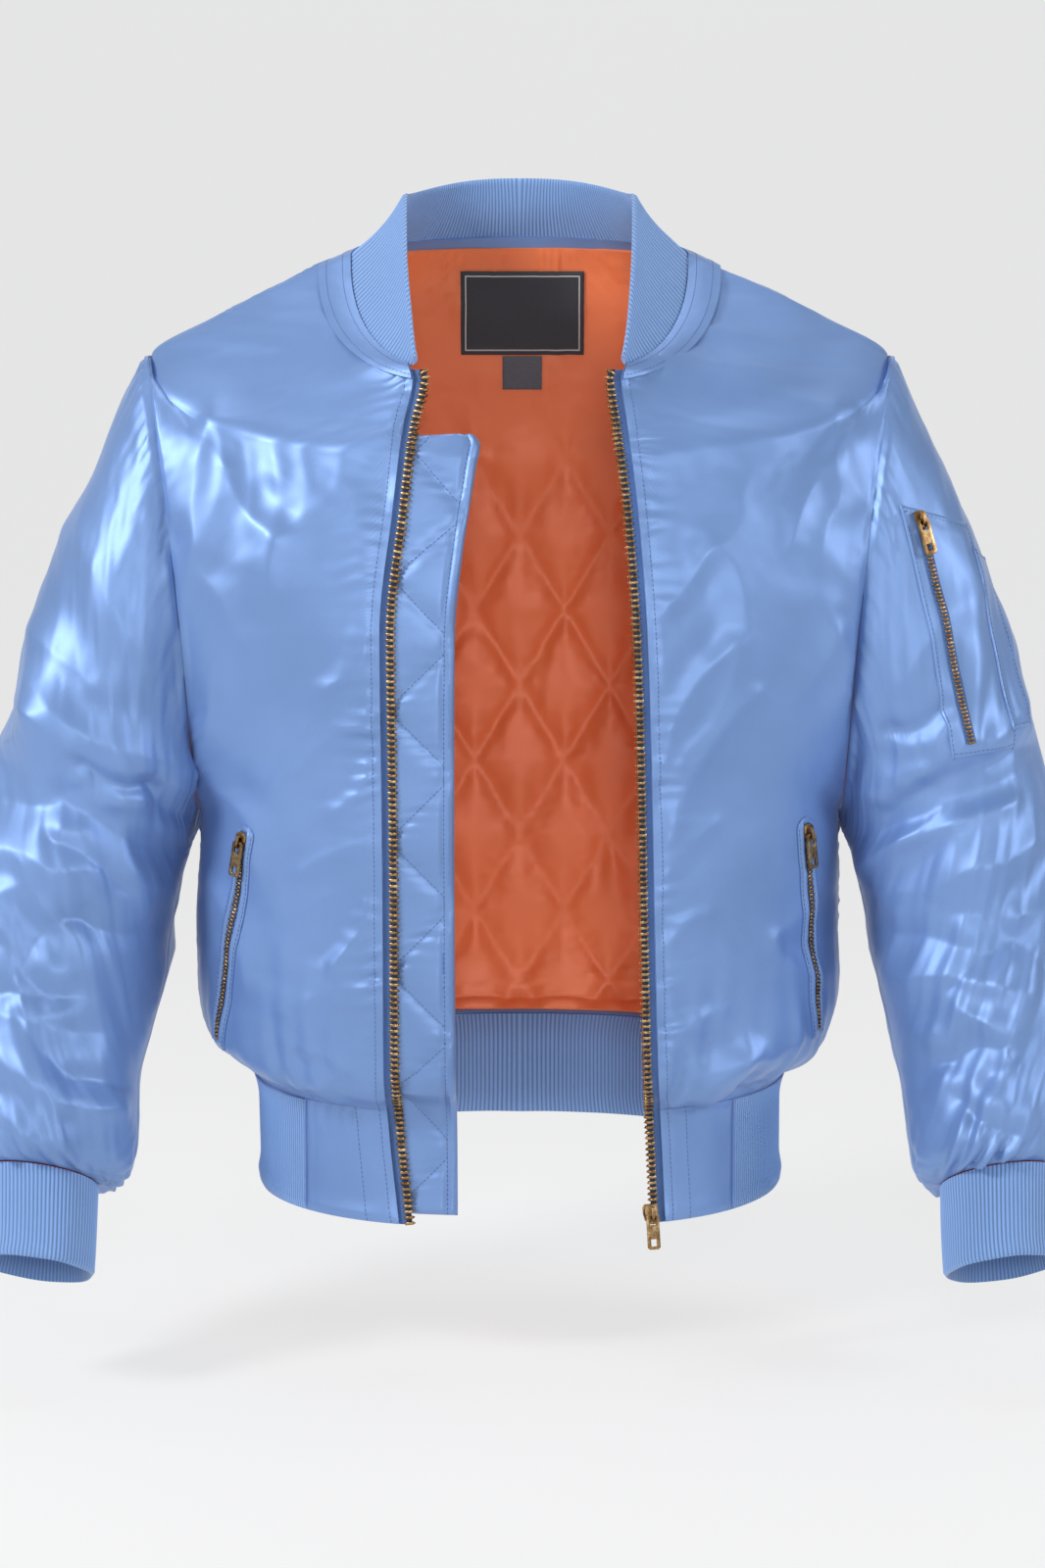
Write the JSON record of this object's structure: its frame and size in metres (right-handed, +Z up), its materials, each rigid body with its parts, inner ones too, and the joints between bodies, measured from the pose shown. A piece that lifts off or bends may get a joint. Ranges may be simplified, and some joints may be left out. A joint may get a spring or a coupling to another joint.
{
  "type": "bomber jacket",
  "caption": "Satin bomber jacket worn open by nobody, with a quilted lining, rib-knit collar, cuffs and hem, metal zips, two slant zip pockets and a zipped sleeve pocket.",
  "frame": {"origin": "midway between the two neck points, where the shoulder seams meet the collar, and where the wearer's shoulders hold the jacket up", "axes": "+Z up, -Y out of the front of the jacket, +X towards the wearer's left"},
  "size_m": [0.772, 0.3123, 0.7661],
  "materials": {
    "satin": "satin weave, cornflower blue",
    "rib_knit": "matt rib knit, cornflower blue",
    "lining": "satin weave, orange",
    "zip_tape": "woven tape, dark blue",
    "brass": "antique brass",
    "label": "woven, charcoal",
    "tag": "woven, grey"
  },
  "bodies": {
    "jacket": {"front_right": "satin", "front_left": "satin", "back": "satin", "hem_panel_right": "satin", "hem_panel_left": "satin", "hem_rib": "rib_knit", "sleeve_right": "satin", "sleeve_left": "satin", "cuff_right": "rib_knit", "cuff_left": "rib_knit", "collar": "rib_knit", "neck_band": "satin", "zip_tape_right": "zip_tape", "zip_tape_left": "zip_tape", "wind_flap": "satin", "lining_back": "lining", "pocket_welt_right": "satin", "zip_pocket_right": "brass", "slider_pocket_right": "brass", "pocket_welt_left": "satin", "zip_pocket_left": "brass", "slider_pocket_left": "brass", "sleeve_pocket": "satin", "pen_pocket": "satin", "zip_sleeve": "brass", "slider_sleeve": "brass", "slider_main": "brass", "neck_label": "label", "size_tag": "tag"},
    "main_pull": {"pull_main": "brass"},
    "right_pocket_pull": {"pull_pocket_right": "brass"},
    "left_pocket_pull": {"pull_pocket_left": "brass"},
    "sleeve_pull": {"pull_sleeve": "brass"}
  },
  "joints": [
    {"name": "main_pull_swing", "type": "hinge", "parent": "jacket", "child": "main_pull", "pos_m": [0.09241, -0.09551, -0.66551], "axis": [-0.9645, -0.264, 0.0016], "range_deg": [0, 150]},
    {"name": "right_pocket_pull_swing", "type": "hinge", "parent": "jacket", "child": "right_pocket_pull", "pos_m": [-0.19386, -0.08656, -0.4062], "axis": [-0.7769, 0.5957, 0.2036], "range_deg": [0, 150]},
    {"name": "left_pocket_pull_swing", "type": "hinge", "parent": "jacket", "child": "left_pocket_pull", "pos_m": [0.20156, -0.07976, -0.40121], "axis": [-0.7113, -0.6899, -0.1345], "range_deg": [0, 150]},
    {"name": "sleeve_pull_swing", "type": "hinge", "parent": "jacket", "child": "sleeve_pull", "pos_m": [0.27543, -0.08408, -0.18434], "axis": [-0.9267, -0.3388, -0.1623], "range_deg": [0, 150]}
  ]
}
